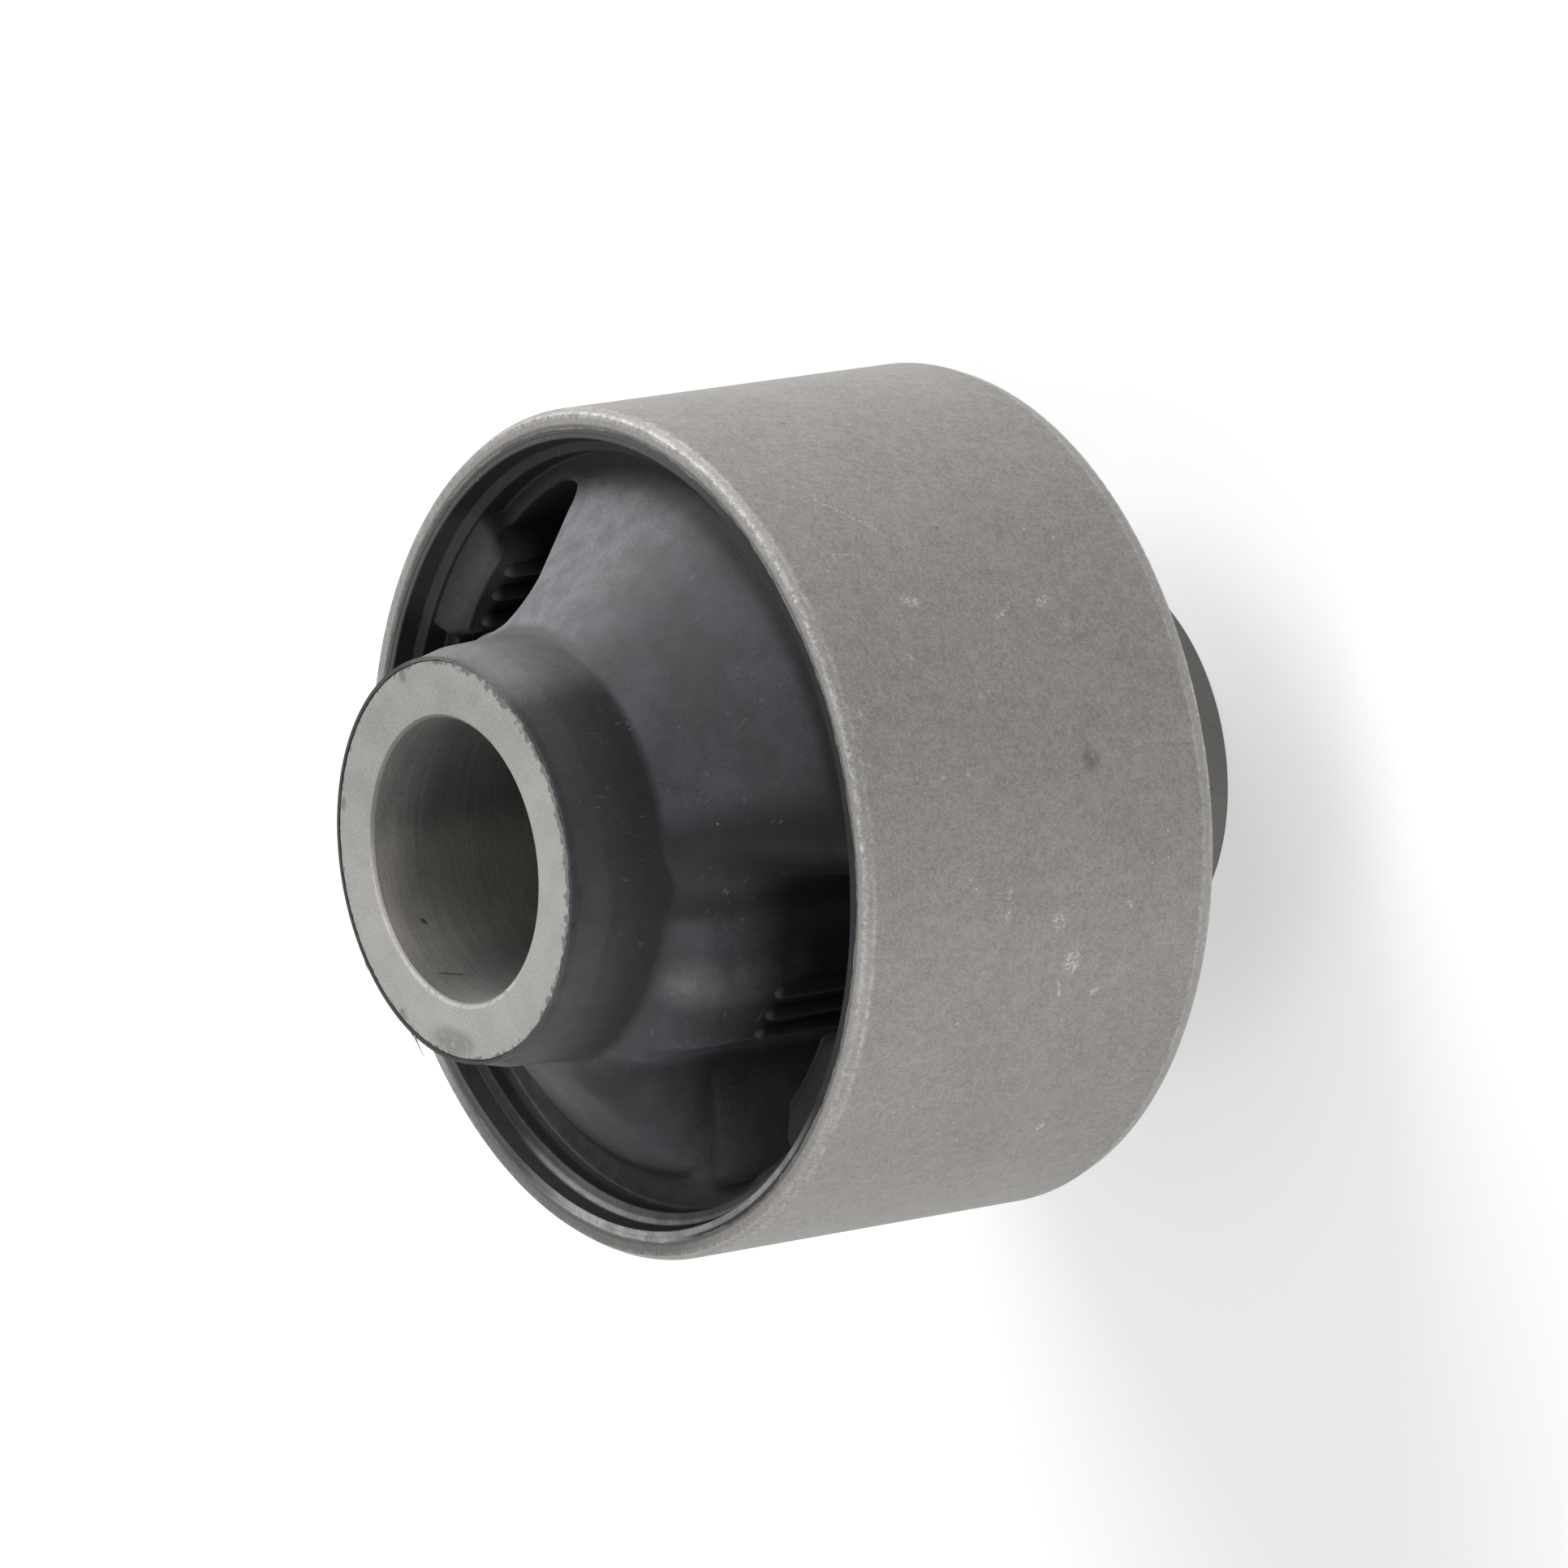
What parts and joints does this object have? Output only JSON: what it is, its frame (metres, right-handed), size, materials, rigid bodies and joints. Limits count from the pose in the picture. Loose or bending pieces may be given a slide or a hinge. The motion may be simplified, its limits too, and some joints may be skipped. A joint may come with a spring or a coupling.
{
  "type": "rubber metal bush",
  "caption": "Bonded rubber bush: a steel outer ring pressed into an arm, a longer steel inner sleeve for a bolt, and rubber between them with two voids that soften it one way.",
  "frame": {"origin": "middle of the bush, on its axis, halfway between the inner sleeve's ends", "axes": "+Z along the bore axis, towards the end seen in the picture; the voids lie along +X and -X, the webs along +Y and -Y"},
  "size_m": [0.06, 0.06, 0.057],
  "materials": {
    "outer_steel": "matt phosphated steel, warm grey, with light handling marks",
    "inner_steel": "matt phosphated steel, warm grey, with a darker bore",
    "rubber": "matt moulded rubber with a slight grey bloom"
  },
  "bodies": {
    "root": {"outer_sleeve": "outer_steel", "inner_sleeve": "inner_steel", "rubber_body": "rubber"}
  },
  "joints": []
}
